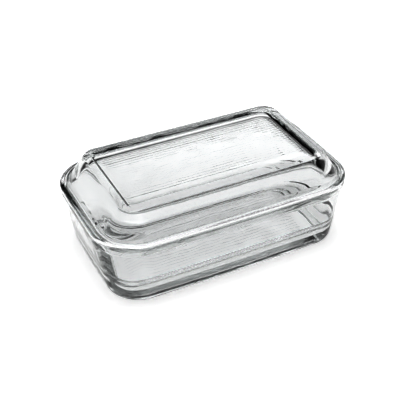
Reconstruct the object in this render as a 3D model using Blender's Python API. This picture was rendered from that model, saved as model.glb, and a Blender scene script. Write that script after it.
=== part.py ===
"""Pressed-glass butter dish: an open dish on a low foot ring and a lift-off lid seated in its rim.

Metres, +Z up. The origin is the centre of the foot's resting plane, +X runs along the long sides.
Each piece is one closed skin: rounded-rectangle sections stacked from one flat cap to the other,
round the outside of the glass and back up or down its inside.
"""

import math

import bmesh
import bpy

# Overall size
LENGTH = 0.170
WIDTH = 0.104
HEIGHT = 0.061

# The dish's sides bulge outwards a little between the corners
BULGE_LONG = 0.00125
BULGE_SHORT = 0.0008

# A size is half the length, half the width, the corner radius, the height and the share of the bulge.
# Dish, outside
RIM_HALF_X = LENGTH / 2 - BULGE_SHORT
RIM_HALF_Y = WIDTH / 2 - BULGE_LONG
RIM_CORNER = 0.026
LEAST_CORNER = 0.001
RIM_TOP = 0.0455
RIM = (RIM_HALF_X, RIM_HALF_Y, RIM_CORNER, RIM_TOP, 1)
EDGE_ROUND = 0.0014
COLLAR_HEIGHT = 0.0052
COLLAR_PROUD = 0.0015
COLLAR_ROUND = 0.0014
COLLAR_UNDERCUT = -80
FOOT_IN_X = 0.0116
FOOT_IN_Y = 0.0094
FOOT_CORNER = 0.0155
FOOT = (RIM_HALF_X - FOOT_IN_X, RIM_HALF_Y - FOOT_IN_Y, FOOT_CORNER, 0, 1)
FOOT_WIDTH = 0.0063
FOOT_ROUND = 0.005
FOOT_ROUND_STOP = -12
UNDERSIDE_RECESS = 0.0012
WALL_LOW = (RIM_HALF_X - FOOT_IN_X + FOOT_ROUND, RIM_HALF_Y - FOOT_IN_Y + FOOT_ROUND,
            FOOT_CORNER + FOOT_ROUND, FOOT_ROUND, 1)
WALL_HIGH = (RIM_HALF_X - COLLAR_PROUD, RIM_HALF_Y - COLLAR_PROUD, RIM_CORNER - COLLAR_PROUD,
             RIM_TOP - COLLAR_HEIGHT - COLLAR_PROUD, 1)
WALL_CURVE = 0.85
WALL_SHARES = (0.12, 0.4, 0.7, 1.0)

# Dish, inside
DISH_WALL = 0.0048
INNER_CORNER = 0.0045
INNER_BULGE = 0.5
INNER_SHARES = (0.93, 0.6, 0.3)
FLOOR_TOP = 0.0056
FLOOR_ROUND = 0.011
LEDGE_DEPTH = 0.0042
LEDGE = (0.0816, 0.04845, 0.0234, RIM_TOP, 0)
LEDGE_WIDTH = 0.0026
LEDGE_DRAFT = 0.0001
LEDGE_ROUND = 0.0006

# Lid
SEAT_GAP = 0.0003
SEAT = RIM_TOP - LEDGE_DEPTH + SEAT_GAP
SIDE_GAP = 0.0010
FLANGE_TOP = RIM_TOP + 0.0010
FLANGE_ROUND = 0.0010
LID_FOOT = (0.0781, 0.0447, 0.018, FLANGE_TOP, 0)
LID_TOP = (0.0683, 0.0364, 0.0095, HEIGHT, 0)
LID_TOP_ROUND = 0.0010
LID_FOOT_BLEND = 0.0010
LID_WALL = 0.0042
LID_LIP = 0.0006
LID_INNER_ROUND = 0.018
PANEL = (0.0634, 0.0332, 0.0058, HEIGHT, 0)
PANEL_Z = HEIGHT - 0.0022
PANEL_SLOPE = 55
PANEL_ROUND = 0.0010
CEILING_Z = PANEL_Z - 0.0030

# Ribs pressed into the lid's panel and the dish's underside
RIB_PITCH = 0.0025
RIB_HALF_WIDTH = 0.42 * RIB_PITCH
RIB_HEIGHT = 0.0003
RIB_SUNK = 0.0005
LID_RIBS = 18
LID_RIB_HALF_LENGTH = 0.0602
DISH_RIBS = 22
DISH_RIB_HALF_LENGTH = 0.0612
DISH_RIB_CORNER = 0.009

# Mesh fineness
CORNER_STEPS = 7
SIDE_STEPS = 4
ROUND_STEPS = 3
WIDE_ROUND_STEPS = 6
RIB_SIDES = 6
SHARP_ANGLE = 35

GLASS_TINT = (0.80, 0.86, 0.84, 1.0)
GLASS_ROUGHNESS = 0.03


def clear_scene():
    for obj in list(bpy.data.objects):
        bpy.data.objects.remove(obj)


def glass_material(name):
    material = bpy.data.materials.new(name)
    material.use_nodes = True
    shader = material.node_tree.nodes["Principled BSDF"]
    shader.inputs["Base Color"].default_value = GLASS_TINT
    shader.inputs["Roughness"].default_value = GLASS_ROUGHNESS
    shader.inputs["Metallic"].default_value = 0.0
    return material


def section(half_x, half_y, corner, z, bulge):
    """Points of one rounded rectangle with slightly bulging sides, counter-clockwise from +X."""
    flat = []
    for quarter in range(4):
        side_x = 1 if quarter in (0, 3) else -1
        side_y = 1 if quarter in (0, 1) else -1
        for step in range(CORNER_STEPS + 1):
            turn = math.pi / 2 * (quarter + step / CORNER_STEPS)
            flat.append((side_x * (half_x - corner) + corner * math.cos(turn),
                         side_y * (half_y - corner) + corner * math.sin(turn)))
        if quarter in (0, 2):
            straight = half_x - corner
            flat += [(side_x * straight * (1 - 2 * step / SIDE_STEPS), side_y * half_y)
                     for step in range(1, SIDE_STEPS)]
        else:
            straight = half_y - corner
            flat += [(side_x * half_x, side_y * straight * (1 - 2 * step / SIDE_STEPS))
                     for step in range(1, SIDE_STEPS)]
    grow_x = bulge * BULGE_SHORT / half_x
    grow_y = bulge * BULGE_LONG / half_y
    return [(x * (1 + grow_x * (1 - (y / half_y) ** 2)),
             y * (1 + grow_y * (1 - (x / half_x) ** 2)), z) for x, y in flat]


def inset(size, distance, z):
    """The size that lies a distance inside another one, at height z."""
    half_x, half_y, corner, _, bulge = size
    return (half_x - distance, half_y - distance, max(corner - distance, LEAST_CORNER), z, bulge)


def between(low, high, share):
    return [a + (b - a) * share for a, b in zip(low, high)]


def rounded(size, radius, start, stop, steps=ROUND_STEPS):
    """Sizes of a rounded edge. Angles are in degrees up from level, seen from the edge's centre;
    size is the centre's own."""
    out = []
    for step in range(steps + 1):
        turn = math.radians(start + (stop - start) * step / steps)
        out.append(inset(size, -radius * math.cos(turn), size[3] + radius * math.sin(turn)))
    return out


def skin(name, sections, material):
    """One closed solid from a stack of sizes, with a flat cap on the first and on the last."""
    shape = bmesh.new()
    rings = [[shape.verts.new(point) for point in section(*size)] for size in sections]
    for low, high in zip(rings, rings[1:]):
        for i in range(len(low)):
            j = (i + 1) % len(low)
            shape.faces.new((low[i], low[j], high[j], high[i]))
    shape.faces.new(list(reversed(rings[0])))
    shape.faces.new(rings[-1])
    bmesh.ops.recalc_face_normals(shape, faces=shape.faces)
    mesh = bpy.data.meshes.new(name)
    shape.to_mesh(mesh)
    shape.free()
    mesh.shade_smooth()
    mesh.set_sharp_from_angle(angle=math.radians(SHARP_ANGLE))
    mesh.materials.append(material)
    obj = bpy.data.objects.new(name, mesh)
    bpy.context.collection.objects.link(obj)
    return obj


def rib_bars(name, count, half_length, corner, z, upward):
    """Round-backed bars side by side, sunk into the panel they stand on. Their ends follow
    the rounded corners of the field that they fill."""
    shape = bmesh.new()
    for number in range(count):
        y = (number - (count - 1) / 2) * RIB_PITCH
        past = max(abs(y) - (count * RIB_PITCH / 2 - corner), 0)
        end = half_length - corner + math.sqrt(corner ** 2 - past ** 2)
        rings = []
        for x in (-end, end):
            ring = []
            for step in range(RIB_SIDES + 1):
                turn = math.pi * step / RIB_SIDES
                lift = RIB_HEIGHT * math.sin(turn) * upward
                ring.append(shape.verts.new((x, y + RIB_HALF_WIDTH * math.cos(turn), z + lift)))
            for side in (-1, 1):
                ring.append(shape.verts.new((x, y + RIB_HALF_WIDTH * side, z - RIB_SUNK * upward)))
            rings.append(ring)
        first, last = rings
        for i in range(len(first)):
            j = (i + 1) % len(first)
            shape.faces.new((first[i], first[j], last[j], last[i]))
        shape.faces.new(list(reversed(first)))
        shape.faces.new(last)
    bmesh.ops.recalc_face_normals(shape, faces=shape.faces)
    mesh = bpy.data.meshes.new(name)
    shape.to_mesh(mesh)
    shape.free()
    bars = bpy.data.objects.new(name, mesh)
    bars.hide_render = True
    bars.display_type = "WIRE"
    bpy.context.collection.objects.link(bars)
    return bars


def press_ribs(piece, bars):
    union = piece.modifiers.new("ribs", "BOOLEAN")
    union.operation = "UNION"
    union.solver = "EXACT"
    union.object = bars


def dish_wall(share):
    """The outer wall between the foot's rounding, at 0, and the collar, at 1."""
    flat = between(WALL_LOW, WALL_HIGH, share ** WALL_CURVE)
    return inset(flat, 0, between(WALL_LOW, WALL_HIGH, share)[3])


def inner_wall(share):
    """The inner wall. Its corners are a little sharper than ones that kept the wall's thickness."""
    half_x, half_y, corner, z, _ = dish_wall(share)
    return inset((half_x, half_y, corner - INNER_CORNER, z, INNER_BULGE), DISH_WALL, z)


def make_dish():
    foot_inner = inset(FOOT, FOOT_WIDTH, 0)
    ledge_top = RIM_TOP - LEDGE_DEPTH

    sections = [inset(foot_inner, UNDERSIDE_RECESS, UNDERSIDE_RECESS), foot_inner]
    sections += rounded(inset(FOOT, 0, FOOT_ROUND), FOOT_ROUND, -90, FOOT_ROUND_STOP)
    sections += [dish_wall(share) for share in WALL_SHARES]
    sections += rounded(inset(RIM, COLLAR_ROUND, RIM_TOP - COLLAR_HEIGHT), COLLAR_ROUND, COLLAR_UNDERCUT, 0)
    sections += rounded(inset(RIM, EDGE_ROUND, RIM_TOP - EDGE_ROUND), EDGE_ROUND, 0, 90)
    sections += rounded(inset(LEDGE, -LEDGE_ROUND, RIM_TOP - LEDGE_ROUND), LEDGE_ROUND, 90, 180)
    sections += [inset(LEDGE, LEDGE_DRAFT, ledge_top)]
    ledge_edge = inset(LEDGE, LEDGE_WIDTH - LEDGE_ROUND, ledge_top - LEDGE_ROUND)
    sections += rounded(ledge_edge, LEDGE_ROUND, 90, 180)
    sections += [inner_wall(share) for share in INNER_SHARES]
    floor_edge = inset(inner_wall(0), FLOOR_ROUND, FLOOR_TOP + FLOOR_ROUND)
    sections += rounded(floor_edge, FLOOR_ROUND, 0, -90, WIDE_ROUND_STEPS)

    dish = skin("dish", sections, glass_material("dish_glass"))
    bars = rib_bars("dish_rib_bars", DISH_RIBS, DISH_RIB_HALF_LENGTH, DISH_RIB_CORNER, UNDERSIDE_RECESS, -1)
    press_ribs(dish, bars)


def lid_slope():
    return math.atan2(HEIGHT - FLANGE_TOP, LID_FOOT[1] - LID_TOP[1])


def lid_wall(inward, z):
    """The lid's sloping wall, moved inwards by a distance measured through the glass, at height z."""
    size = between(LID_FOOT, LID_TOP, (z - FLANGE_TOP) / (HEIGHT - FLANGE_TOP))
    return inset(size, inward / math.sin(lid_slope()), z)


def panel_wall():
    """Sizes of the recess's sloping side, from the lid's top down to the panel."""
    tilt = math.radians(PANEL_SLOPE)
    reach = PANEL_ROUND * math.tan(tilt / 2)
    run = (HEIGHT - PANEL_Z) / math.tan(tilt)
    upper, lower = [], []
    for step in range(ROUND_STEPS + 1):
        turn = tilt * step / ROUND_STEPS
        out, up = PANEL_ROUND * math.sin(turn), PANEL_ROUND * (1 - math.cos(turn))
        upper.append(inset(PANEL, out - reach, HEIGHT - up))
        lower.append(inset(PANEL, run + reach - out, PANEL_Z + up))
    return upper + lower[::-1]


def make_lid():
    slope = math.degrees(lid_slope())
    # Where a rounding of this slope touches the level face and the sloping one
    touch_share = math.tan(lid_slope() / 2)
    ceiling_edge = inset(lid_wall(LID_WALL, CEILING_Z), LID_INNER_ROUND * touch_share,
                         CEILING_Z - LID_INNER_ROUND)
    top_edge = inset(LID_TOP, LID_TOP_ROUND * touch_share, HEIGHT - LID_TOP_ROUND)
    flange_edge = inset(LEDGE, SIDE_GAP + FLANGE_ROUND, SEAT + FLANGE_ROUND)

    sections = rounded(ceiling_edge, LID_INNER_ROUND, 90, 90 - slope, WIDE_ROUND_STEPS)
    sections += [lid_wall(LID_WALL, SEAT + LID_FOOT_BLEND), inset(lid_wall(LID_WALL, SEAT), -LID_LIP, SEAT)]
    sections += rounded(flange_edge, FLANGE_ROUND, -90, 0)
    sections += rounded(inset(flange_edge, 0, FLANGE_TOP - FLANGE_ROUND), FLANGE_ROUND, 0, 90)
    sections += [inset(LID_FOOT, -LID_FOOT_BLEND, FLANGE_TOP), lid_wall(0, FLANGE_TOP + LID_FOOT_BLEND)]
    sections += rounded(top_edge, LID_TOP_ROUND, 90 - slope, 90)
    sections += panel_wall()

    lid = skin("lid", sections, glass_material("lid_glass"))
    press_ribs(lid, rib_bars("lid_rib_bars", LID_RIBS, LID_RIB_HALF_LENGTH, RIB_PITCH, PANEL_Z, 1))


clear_scene()
make_dish()
make_lid()
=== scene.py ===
"""Looks of the pressed-glass butter dish: fine glass skins for the dish and its lid, and a white studio."""

import math

import bpy
import numpy as np
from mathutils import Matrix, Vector


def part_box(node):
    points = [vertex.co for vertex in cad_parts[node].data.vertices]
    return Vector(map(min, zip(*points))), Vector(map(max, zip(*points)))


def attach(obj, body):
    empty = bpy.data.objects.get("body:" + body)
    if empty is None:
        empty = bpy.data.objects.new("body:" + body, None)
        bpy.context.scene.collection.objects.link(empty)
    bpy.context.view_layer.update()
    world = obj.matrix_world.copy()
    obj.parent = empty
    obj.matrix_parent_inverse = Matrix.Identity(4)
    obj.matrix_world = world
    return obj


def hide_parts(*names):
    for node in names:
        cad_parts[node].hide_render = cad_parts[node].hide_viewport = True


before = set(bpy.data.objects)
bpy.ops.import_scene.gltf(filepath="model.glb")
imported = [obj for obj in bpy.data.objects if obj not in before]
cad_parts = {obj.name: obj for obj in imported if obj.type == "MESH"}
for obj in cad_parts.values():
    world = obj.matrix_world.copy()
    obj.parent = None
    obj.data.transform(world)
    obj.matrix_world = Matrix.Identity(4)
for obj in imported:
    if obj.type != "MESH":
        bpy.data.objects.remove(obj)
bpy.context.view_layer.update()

# Sizes read from the frame
DISH_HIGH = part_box("dish")[1]
LID_LOW, LID_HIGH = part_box("lid")
RIM_TOP = DISH_HIGH.z
SEAT = LID_LOW.z
TOP = LID_HIGH.z

# The sides bulge outwards a little between the corners
BULGE_LONG = 0.00125
BULGE_SHORT = 0.0008

# A section is its half lengths, corner radius and height, and how much of the bulge it takes.
# Dish, outside
RIM_CORNER = 0.026
LEAST_CORNER = 0.0008
RIM = np.array([DISH_HIGH.x - BULGE_SHORT, DISH_HIGH.y - BULGE_LONG, RIM_CORNER, RIM_TOP, 1])
COLLAR_HEIGHT = 0.0052
COLLAR_PROUD = 0.0015
EDGE_ROUND = 0.0014
COLLAR_ROUND = 0.0014
COLLAR_UNDERCUT = -80
FOOT_IN_X = 0.0116
FOOT_IN_Y = 0.0094
FOOT_CORNER = 0.0155
FOOT = RIM - (FOOT_IN_X, FOOT_IN_Y, RIM_CORNER - FOOT_CORNER, RIM_TOP, 0)
FOOT_WIDTH = 0.0063
FOOT_ROUND = 0.005
FOOT_ROUND_STOP = -12
UNDERSIDE_RECESS = 0.0012
WALL_LOW = FOOT + (FOOT_ROUND, FOOT_ROUND, FOOT_ROUND, FOOT_ROUND, 0)
WALL_HIGH = RIM - (COLLAR_PROUD, COLLAR_PROUD, COLLAR_PROUD, COLLAR_HEIGHT + COLLAR_PROUD, 0)
WALL_CURVE = 0.85
WALL_FROM = 0.1

# Dish, inside. Walls run between two shares of the height from the foot's rounding to the collar
DISH_WALL = 0.0048
INNER_BULGE = 0.5
INNER_CORNER = 0.0045
INNER_FROM = 0.93
INNER_TO = 0.35
FLOOR_SHARE = 0.15
FLOOR_TOP = 0.0056
FLOOR_ROUND = 0.011
LEDGE_DEPTH = 0.0042
LEDGE_TOP = RIM_TOP - LEDGE_DEPTH
LEDGE = np.array([0.0816, 0.04845, 0.0234, RIM_TOP, 0])
LEDGE_DRAFT = 0.0001
LEDGE_ROUND = 0.0006
LEDGE_WIDTH = 0.0026

# Lid
SIDE_GAP = 0.0010
FLANGE_PROUD = 0.0010
FLANGE_TOP = RIM_TOP + FLANGE_PROUD
FLANGE_ROUND = 0.0010
LID_FOOT = np.array([0.0781, 0.0447, 0.018, FLANGE_TOP, 0])
LID_TOP = np.array([0.0683, 0.0364, 0.0095, TOP, 0])
LID_TOP_ROUND = 0.0010
LID_FOOT_ROUND = 0.0008
LID_WALL = 0.0042
LID_LIP = 0.0006
LID_LIP_HEIGHT = 0.0010
LID_INNER_ROUND = 0.018
PANEL = np.array([0.0634, 0.0332, 0.0058, TOP, 0])
PANEL_DEPTH = 0.0022
PANEL_Z = TOP - PANEL_DEPTH
PANEL_SLOPE = 55
PANEL_ROUND = 0.0010
PANEL_THICK = 0.0030
CEILING_Z = PANEL_Z - PANEL_THICK

# Ribs
RIB_PITCH = 0.0025
RIB_END = 0.0020
LID_RIB_HEIGHT = 0.00013
DISH_RIB_HEIGHT = 0.00018
LID_RIBS = 18
LID_RIB_HALF_LENGTH = 0.0602
LID_RIB_CORNER = 0.003
DISH_RIBS = 22
DISH_RIB_CORNER = 0.009
DISH_RIB_HALF_LENGTH = 0.0612

# Mesh fineness: steps on half a corner, along the sides, across a rib, round a fillet and up a wall
HALF_CORNER = 10
LONG_STEPS = 60
RIB_STEPS = 6
SHORT_STEPS = DISH_RIBS * RIB_STEPS
FILLET_STEPS = 6
WIDE_STEPS = 18
WALL_STEPS = 18
HELD_LENGTH = 0.0019
HOLD = 0.0002
FIRST_CELL = 0.0009
FIELD_CORNER = 0.003
TINY = 1e-9

# Between the glass and the floor, so that light reaches the floor under the foot
FLOOR_GAP = 0.0003

# Glass: a tint at each face, the glass's own faint one deepened as painted shade for the glowing floor seen
# through it, a stronger one by depth, and the slow waves that pressing leaves
FACE_TINT_AND_PAINTED_SHADE = (0.928, 0.931, 0.933, 1)
DEPTH_TINT = (0.855, 0.868, 0.865, 1)
DEPTH_DENSITY = 35.0
IOR = 1.52
WAVE_SCALE = 55.0
WAVE_HEIGHT = 0.0003
SHEEN_SCALE = 140.0
CLOUD_DETAIL = 1.0
LEAST_ROUGHNESS = 0.0
MOST_ROUGHNESS = 0.006

# Floor: matt white paper with hardly visible clouding
PAPER_SCALE = 9.0
PAPER_DARK = 0.89
PAPER_LIGHT = 0.91
PAPER_ROUGHNESS = 0.9
FLOOR_HALF = 3.0

# Below 1 it deepens the middle tones and leaves black and white alone
CONTRAST = 0.6

# Studio: a pale horizon, a dim room above it, and soft round lights.
# A light is its azimuth, elevation and half angle in degrees, and its strength
LIGHT = 1.0
FLOOR_GLOW = 0.66
HORIZON = 0.9
ROOM = 0.01
HORIZON_FROM = 0.17
HORIZON_TO = 0.30
SOFT_EDGE = 5
SOFT_LIGHTS = [(0, 90, 15, 6.0), (250, 45, 22, 0.6), (150, 36, 7, 2.0)]
GLASS_BOUNCES = 32
GLOSSY_BOUNCES = 12
DIFFUSE_BOUNCES = 4

# Camera: from the front left, above
CAMERA_AZIMUTH = -26.91
CAMERA_ELEVATION = 35.125
CAMERA_TARGET = Vector((0, 0, 0.030))
CAMERA_DISTANCE = 0.5411
CAMERA_LENS = 76.3
CAMERA_SENSOR = 36.0
CAMERA_SHIFT = (-0.0090, -0.0137)


def side_shares(steps):
    return np.linspace(-1, 1, steps + 1)


def bulged(points, half_x, half_y, bulge):
    x, y = points[..., 0], points[..., 1]
    wide = x * (1 + bulge * BULGE_SHORT / half_x * (1 - (y / half_y) ** 2))
    deep = y * (1 + bulge * BULGE_LONG / half_y * (1 - (x / half_x) ** 2))
    return np.stack([wide, deep], -1)


def ring(section):
    """The section's points, counter-clockwise from its corner at +X -Y."""
    half_x, half_y, corner, z, bulge = section
    bend = np.linspace(-math.pi / 4, 0, HALF_CORNER + 1)[:-1]
    points = []
    for quarter in range(4):
        along_y, along_x = (half_x, half_y, SHORT_STEPS), (half_y, half_x, LONG_STEPS)
        reach, side, steps = along_x if quarter % 2 else along_y
        back = bend[:0:-1]
        out = np.concatenate([reach - corner + corner * np.cos(bend), np.full(steps + 1, reach),
                              reach - corner + corner * np.cos(back)])
        along = np.concatenate([corner - side + corner * np.sin(bend), side_shares(steps) * (side - corner),
                                side - corner - corner * np.sin(back)])
        c, s = ((1, 0), (0, 1), (-1, 0), (0, -1))[quarter]
        points.append(np.stack([out * c - along * s, out * s + along * c], 1))
    flat = bulged(np.concatenate(points), half_x, half_y, bulge)
    return np.column_stack([flat, np.full(len(flat), z)])


def lattice(section, height):
    """Grid points that fill the section. height gives their z from x and y."""
    half_x, half_y, corner, z, bulge = section
    margin = np.linspace(1, 0, HALF_CORNER + 1)[:-1]

    def line(half, steps):
        return np.concatenate([-(half - corner) - corner * margin, side_shares(steps) * (half - corner),
                               half - corner + corner * margin[::-1]])

    x, y = np.meshgrid(line(half_x, LONG_STEPS), line(half_y, SHORT_STEPS))
    # In the corner squares, square rings turn into arcs
    a = np.maximum(np.abs(x) - (half_x - corner), 0) / corner
    b = np.maximum(np.abs(y) - (half_y - corner), 0) / corner
    inside = (a > TINY) & (b > TINY)
    far = np.maximum(a, b)
    near = np.where(inside, np.minimum(a, b) / np.where(inside, far, 1), 0)
    angle = math.pi / 4 * near
    long_part, short_part = far * np.cos(angle), far * np.sin(angle)
    new_a = np.where(a >= b, long_part, short_part)
    new_b = np.where(a >= b, short_part, long_part)
    x = np.where(inside, np.sign(x) * (half_x - corner + corner * new_a), x)
    y = np.where(inside, np.sign(y) * (half_y - corner + corner * new_b), y)
    flat = bulged(np.stack([x, y], -1), half_x, half_y, bulge)
    return np.concatenate([flat, (z + height(flat[..., 0], flat[..., 1]))[..., None]], -1)


def lattice_edge(rows, columns):
    """Places of the grid's border in the order that ring() gives its points."""
    right = [(j, columns - 1) for j in range(rows - 1)]
    back = [(rows - 1, i) for i in range(columns - 1, 0, -1)]
    left = [(j, 0) for j in range(rows - 1, 0, -1)]
    front = [(0, i) for i in range(columns - 1)]
    return [j * columns + i for j, i in right + back + left + front]


def inset(section, distance, z=None):
    half_x, half_y, corner, own_z, bulge = section
    return np.array([half_x - distance, half_y - distance, max(corner - distance, LEAST_CORNER),
                     own_z if z is None else z, bulge])


def rounded(centre, radius, start, stop, steps=FILLET_STEPS):
    """Sections of a rounded edge. Angles are in degrees up from level, seen from the edge's centre."""
    turns = np.radians(np.linspace(start, stop, steps + 1))
    return [inset(centre, -radius * math.cos(t), centre[3] + radius * math.sin(t)) for t in turns]


def held(sections):
    """The sections with two more on each long flat stretch, near its ends, to keep its shading flat."""
    out = [sections[0]]
    for low, high in zip(sections, sections[1:]):
        gap = np.abs((high - low)[[0, 3]]).max()
        if gap > HELD_LENGTH:
            out += [low + (high - low) * share for share in (HOLD / gap, 1 - HOLD / gap)]
        out.append(high)
    return out


def skin(name, sections, first_field, last_field):
    """One closed mesh from stacked sections, with a grid closing the first one and the last one."""
    rings = [ring(section) for section in sections]
    count = len(rings[0])
    points = np.concatenate(rings[1:-1])
    faces = []
    rows, columns = SHORT_STEPS + 2 * HALF_CORNER + 1, LONG_STEPS + 2 * HALF_CORNER + 1
    edge = np.array(lattice_edge(rows, columns))
    fields = [lattice(section, field).reshape(-1, 3)
              for section, field in ((sections[0], first_field), (sections[-1], last_field))]
    starts = [len(points), len(points) + rows * columns]
    points = np.concatenate([points, *fields])
    middle = [np.arange(count) + count * k for k in range(len(rings) - 2)]
    tags = [starts[0] + edge, *middle, starts[1] + edge]
    for low, high in zip(tags, tags[1:]):
        faces.append(np.stack([low, np.roll(low, -1), np.roll(high, -1), high], 1))
    j, i = np.meshgrid(np.arange(rows - 1), np.arange(columns - 1), indexing="ij")
    cell = (j * columns + i).ravel()
    quads = np.stack([cell, cell + 1, cell + columns + 1, cell + columns], 1)
    faces.append(starts[0] + quads[:, ::-1])
    faces.append(starts[1] + quads)
    mesh = bpy.data.meshes.new(name)
    mesh.from_pydata(points.tolist(), [], np.concatenate(faces).tolist())
    mesh.shade_smooth()
    mesh.validate()
    obj = bpy.data.objects.new(name, mesh)
    bpy.context.scene.collection.objects.link(obj)
    return obj


def level(x, y):
    return np.zeros_like(x)


def ribs(count, half_length, rise, corner):
    """Height of soft ribs along X, tapered at the field's rounded outline."""
    half_width = count * RIB_PITCH / 2

    def height(x, y):
        across = 0.5 - 0.5 * np.cos(2 * math.pi * (y / RIB_PITCH + count / 2))
        past_x = np.maximum(np.abs(x) - (half_length - corner), 0)
        past_y = np.maximum(np.abs(y) - (half_width - corner), 0)
        shorter = np.where(past_y > 0, corner - np.sqrt(np.maximum(corner ** 2 - past_y ** 2, 0)), 0)
        taper = np.clip((corner - shorter - past_x) / RIB_END, 0, 1)
        field = np.abs(y) <= half_width + TINY
        return rise * np.where(field, across, 0) * taper * (2 - taper)
    return height


def rib_field(half_length, z):
    """A section whose short sides' steps fall in with the ribs."""
    half_width = DISH_RIBS * RIB_PITCH / 2
    return np.array([half_length + FIELD_CORNER, half_width + FIELD_CORNER, FIELD_CORNER, z, 0])


def dish_wall(share):
    """Outer wall section between the foot's rounding, at 0, and the collar, at 1."""
    out = WALL_LOW + (WALL_HIGH - WALL_LOW) * share ** WALL_CURVE
    out[3] = WALL_LOW[3] + (WALL_HIGH[3] - WALL_LOW[3]) * share
    return out


def inner_wall(share):
    """Inner wall section. Its corners are a little sharper than ones that kept the wall's thickness."""
    half_x, half_y, corner, z, bulge = inset(dish_wall(share), DISH_WALL)
    return np.array([half_x, half_y, corner - INNER_CORNER, z, bulge * INNER_BULGE])


def make_dish():
    foot_inner = inset(FOOT, FOOT_WIDTH)
    floor_edge = inset(inner_wall(FLOOR_SHARE), FLOOR_ROUND, FLOOR_TOP + FLOOR_ROUND)
    collar_edge = inset(RIM, COLLAR_ROUND, RIM_TOP - COLLAR_HEIGHT)
    rim_edge = inset(RIM, EDGE_ROUND, RIM_TOP - EDGE_ROUND)
    ledge_upper = inset(LEDGE, -LEDGE_ROUND, RIM_TOP - LEDGE_ROUND)
    ledge_lower = inset(LEDGE, LEDGE_WIDTH - LEDGE_ROUND, LEDGE_TOP - LEDGE_ROUND)
    sections = [rib_field(DISH_RIB_HALF_LENGTH, UNDERSIDE_RECESS)]
    sections += [inset(foot_inner, UNDERSIDE_RECESS, UNDERSIDE_RECESS), foot_inner]
    sections += rounded(inset(FOOT, 0, FOOT_ROUND), FOOT_ROUND, -90, FOOT_ROUND_STOP)
    sections += [dish_wall(share) for share in np.linspace(WALL_FROM, 1, WALL_STEPS)]
    sections += rounded(collar_edge, COLLAR_ROUND, COLLAR_UNDERCUT, 0)
    sections += rounded(rim_edge, EDGE_ROUND, 0, 90)
    sections += rounded(ledge_upper, LEDGE_ROUND, 90, 180)
    sections += [inset(LEDGE, LEDGE_DRAFT, LEDGE_TOP)]
    sections += rounded(ledge_lower, LEDGE_ROUND, 90, 180)
    sections += [inner_wall(share) for share in np.linspace(INNER_FROM, INNER_TO, WALL_STEPS)]
    sections += rounded(floor_edge, FLOOR_ROUND, 0, -90, WIDE_STEPS)
    sections += [inset(floor_edge, FIRST_CELL, FLOOR_TOP)]
    grooves = ribs(DISH_RIBS, DISH_RIB_HALF_LENGTH, -DISH_RIB_HEIGHT, DISH_RIB_CORNER)
    return skin("pressed_dish", held(sections), grooves, level)


def lid_wall(inward, z):
    """The lid's sloping wall, moved inwards by a distance measured through the glass, at height z."""
    out = LID_FOOT + (LID_TOP - LID_FOOT) * ((z - FLANGE_TOP) / (TOP - FLANGE_TOP))
    return inset(out, inward / math.sin(lid_slope()), z)


def lid_slope():
    return math.atan2(TOP - FLANGE_TOP, LID_FOOT[1] - LID_TOP[1])


def turned(centre, radius, tilt):
    """Sections of a rounding from level to the tilt. A radius below 0 puts them under the centre."""
    turns = np.linspace(0, tilt, FILLET_STEPS + 1)
    return [inset(centre, radius * math.sin(t), centre[3] + radius * math.cos(t)) for t in turns]


def panel_wall():
    """Sections of the recess's sloping side, from the lid's top down to the panel."""
    tilt = math.radians(PANEL_SLOPE)
    reach = PANEL_ROUND * math.tan(tilt / 2)
    run = (TOP - PANEL_Z) / math.tan(tilt)
    upper = inset(PANEL, -reach, TOP - PANEL_ROUND)
    lower = inset(PANEL, run + reach, PANEL_Z + PANEL_ROUND)
    return turned(upper, PANEL_ROUND, tilt) + turned(lower, -PANEL_ROUND, tilt)[::-1]


def lid_foot():
    """Sections of the small hollow rounding where the flange's top meets the sloping wall."""
    slope = lid_slope()
    centre = inset(LID_FOOT, -LID_FOOT_ROUND * math.tan(slope / 2), FLANGE_TOP + LID_FOOT_ROUND)
    return turned(centre, -LID_FOOT_ROUND, -slope)


def make_lid():
    slope = math.degrees(lid_slope())
    # Where a rounding of this slope touches the level face and the sloping one
    touch_share = math.tan(lid_slope() / 2)
    flange = inset(LEDGE, SIDE_GAP + FLANGE_ROUND)
    ceiling_edge = inset(lid_wall(LID_WALL, CEILING_Z), LID_INNER_ROUND * touch_share,
                         CEILING_Z - LID_INNER_ROUND)
    top_edge = inset(LID_TOP, LID_TOP_ROUND * touch_share, TOP - LID_TOP_ROUND)
    sections = [inset(ceiling_edge, FIRST_CELL, CEILING_Z)]
    sections += rounded(ceiling_edge, LID_INNER_ROUND, 90, 90 - slope, WIDE_STEPS)
    sections += [lid_wall(LID_WALL, SEAT + LID_LIP_HEIGHT), inset(lid_wall(LID_WALL, SEAT), -LID_LIP)]
    sections += rounded(inset(flange, 0, SEAT + FLANGE_ROUND), FLANGE_ROUND, -90, 0)
    sections += rounded(inset(flange, 0, FLANGE_TOP - FLANGE_ROUND), FLANGE_ROUND, 0, 90)
    sections += lid_foot()
    sections += rounded(top_edge, LID_TOP_ROUND, 90 - slope, 90)
    sections += panel_wall()
    sections += [rib_field(LID_RIB_HALF_LENGTH, PANEL_Z)]
    ridges = ribs(LID_RIBS, LID_RIB_HALF_LENGTH, LID_RIB_HEIGHT, LID_RIB_CORNER)
    return skin("pressed_lid", held(sections), level, ridges)


def clouds(nodes, links, place, scale):
    noise = nodes.new("ShaderNodeTexNoise")
    noise.inputs["Scale"].default_value = scale
    noise.inputs["Detail"].default_value = CLOUD_DETAIL
    links.new(place, noise.inputs["Vector"])
    return noise.outputs["Fac"]


def spread(nodes, links, value, low, high):
    """The value, taken from 0 to 1, stretched from low to high."""
    ramp = nodes.new("ShaderNodeMapRange")
    ramp.inputs["To Min"].default_value = low
    ramp.inputs["To Max"].default_value = high
    links.new(value, ramp.inputs["Value"])
    return ramp.outputs["Result"]


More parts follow.
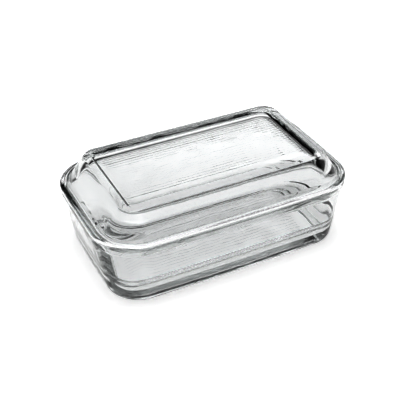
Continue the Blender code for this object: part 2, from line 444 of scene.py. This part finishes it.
def glass(name):
    material = bpy.data.materials.new(name)
    material.use_nodes = True
    nodes, links = material.node_tree.nodes, material.node_tree.links
    shader = nodes["Principled BSDF"]
    # Base colour: the glass's faint tint plus painted shade, darkening everything seen through the glass
    shader.inputs["Base Color"].default_value = FACE_TINT_AND_PAINTED_SHADE
    shader.inputs["IOR"].default_value = IOR
    shader.inputs["Transmission Weight"].default_value = 1.0
    place = nodes.new("ShaderNodeTexCoord").outputs["Object"]
    sheen = spread(nodes, links, clouds(nodes, links, place, SHEEN_SCALE), LEAST_ROUGHNESS, MOST_ROUGHNESS)
    links.new(sheen, shader.inputs["Roughness"])
    waves = nodes.new("ShaderNodeBump")
    waves.inputs["Distance"].default_value = WAVE_HEIGHT
    links.new(clouds(nodes, links, place, WAVE_SCALE), waves.inputs["Height"])
    links.new(waves.outputs["Normal"], shader.inputs["Normal"])
    depth = nodes.new("ShaderNodeVolumeAbsorption")
    depth.inputs["Color"].default_value = DEPTH_TINT
    depth.inputs["Density"].default_value = DEPTH_DENSITY
    links.new(depth.outputs["Volume"], nodes["Material Output"].inputs["Volume"])
    return material


def make_floor():
    mesh = bpy.data.meshes.new("floor")
    signs = (-1, -1), (1, -1), (1, 1), (-1, 1)
    corners = [(x * FLOOR_HALF, y * FLOOR_HALF, -FLOOR_GAP) for x, y in signs]
    mesh.from_pydata(corners, [], [(0, 1, 2, 3)])
    floor = bpy.data.objects.new("floor", mesh)
    bpy.context.scene.collection.objects.link(floor)
    material = bpy.data.materials.new("floor")
    material.use_nodes = True
    nodes, links = material.node_tree.nodes, material.node_tree.links
    shader = nodes["Principled BSDF"]
    place = nodes.new("ShaderNodeTexCoord").outputs["Object"]
    paper = spread(nodes, links, clouds(nodes, links, place, PAPER_SCALE), PAPER_DARK, PAPER_LIGHT)
    links.new(paper, shader.inputs["Base Color"])
    shader.inputs["Roughness"].default_value = PAPER_ROUGHNESS
    shader.inputs["Specular IOR Level"].default_value = 0.0
    shader.inputs["Emission Color"].default_value = (1, 1, 1, 1)
    shader.inputs["Emission Strength"].default_value = FLOOR_GLOW
    mesh.materials.append(material)


def make_light():
    world = bpy.data.worlds.new("studio")
    bpy.context.scene.world = world
    world.use_nodes = True
    nodes, links = world.node_tree.nodes, world.node_tree.links
    way = nodes.new("ShaderNodeTexCoord").outputs["Generated"]
    total = part_of_sky(world, way, Vector((0, 0, 1)), HORIZON_FROM, HORIZON_TO, ROOM - HORIZON)
    total = summed(world, total, HORIZON)
    for azimuth, elevation, half_angle, strength in SOFT_LIGHTS:
        centre = direction(azimuth, elevation)
        start, stop = (math.cos(math.radians(half_angle + side)) for side in (SOFT_EDGE, -SOFT_EDGE))
        total = summed(world, total, part_of_sky(world, way, centre, start, stop, strength))
    links.new(total, nodes["Background"].inputs["Color"])
    nodes["Background"].inputs["Strength"].default_value = LIGHT


def direction(azimuth, elevation):
    """Unit vector towards a place given in degrees. Azimuth 0 is the front."""
    a, e = math.radians(azimuth), math.radians(elevation)
    return Vector((math.sin(a) * math.cos(e), -math.cos(a) * math.cos(e), math.sin(e)))


def part_of_sky(world, way, centre, start, stop, strength):
    """A value that grows smoothly from 0 to strength between two cosines of the angle to the centre."""
    nodes, links = world.node_tree.nodes, world.node_tree.links
    cosine = nodes.new("ShaderNodeVectorMath")
    cosine.operation = "DOT_PRODUCT"
    cosine.inputs[1].default_value = centre
    links.new(way, cosine.inputs[0])
    ramp = nodes.new("ShaderNodeMapRange")
    ramp.interpolation_type = "SMOOTHSTEP"
    ramp.inputs["From Min"].default_value = start
    ramp.inputs["From Max"].default_value = stop
    ramp.inputs["To Min"].default_value = 0
    ramp.inputs["To Max"].default_value = strength
    links.new(cosine.outputs["Value"], ramp.inputs["Value"])
    return ramp.outputs["Result"]


def summed(world, first, second):
    add = world.node_tree.nodes.new("ShaderNodeMath")
    add.operation = "ADD"
    for socket, value in zip(add.inputs, (first, second)):
        if isinstance(value, float):
            socket.default_value = value
        else:
            world.node_tree.links.new(value, socket)
    return add.outputs["Value"]


def make_camera():
    data = bpy.data.cameras.new("camera")
    camera = bpy.data.objects.new("camera", data)
    bpy.context.scene.collection.objects.link(camera)
    back = direction(CAMERA_AZIMUTH, CAMERA_ELEVATION)
    camera.location = CAMERA_TARGET + back * CAMERA_DISTANCE
    camera.rotation_mode = "QUATERNION"
    camera.rotation_quaternion = (-back).to_track_quat("-Z", "Y")
    data.lens = CAMERA_LENS
    data.sensor_width = CAMERA_SENSOR
    data.shift_x, data.shift_y = CAMERA_SHIFT
    bpy.context.scene.camera = camera


dish = make_dish()
lid = make_lid()
for piece, body, slot in ((dish, "dish", "dish_glass"), (lid, "lid", "lid_glass")):
    piece.data.materials.append(glass(slot))
    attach(piece, body)
    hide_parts(body)
make_floor()
make_light()
make_camera()

scene = bpy.context.scene
scene.view_settings.view_transform = "Standard"
scene.view_settings.gamma = CONTRAST
scene.cycles.max_bounces = GLASS_BOUNCES
scene.cycles.transmission_bounces = GLASS_BOUNCES
scene.cycles.glossy_bounces = GLOSSY_BOUNCES
scene.cycles.diffuse_bounces = DIFFUSE_BOUNCES
scene.cycles.caustics_refractive = True
scene.cycles.caustics_reflective = True
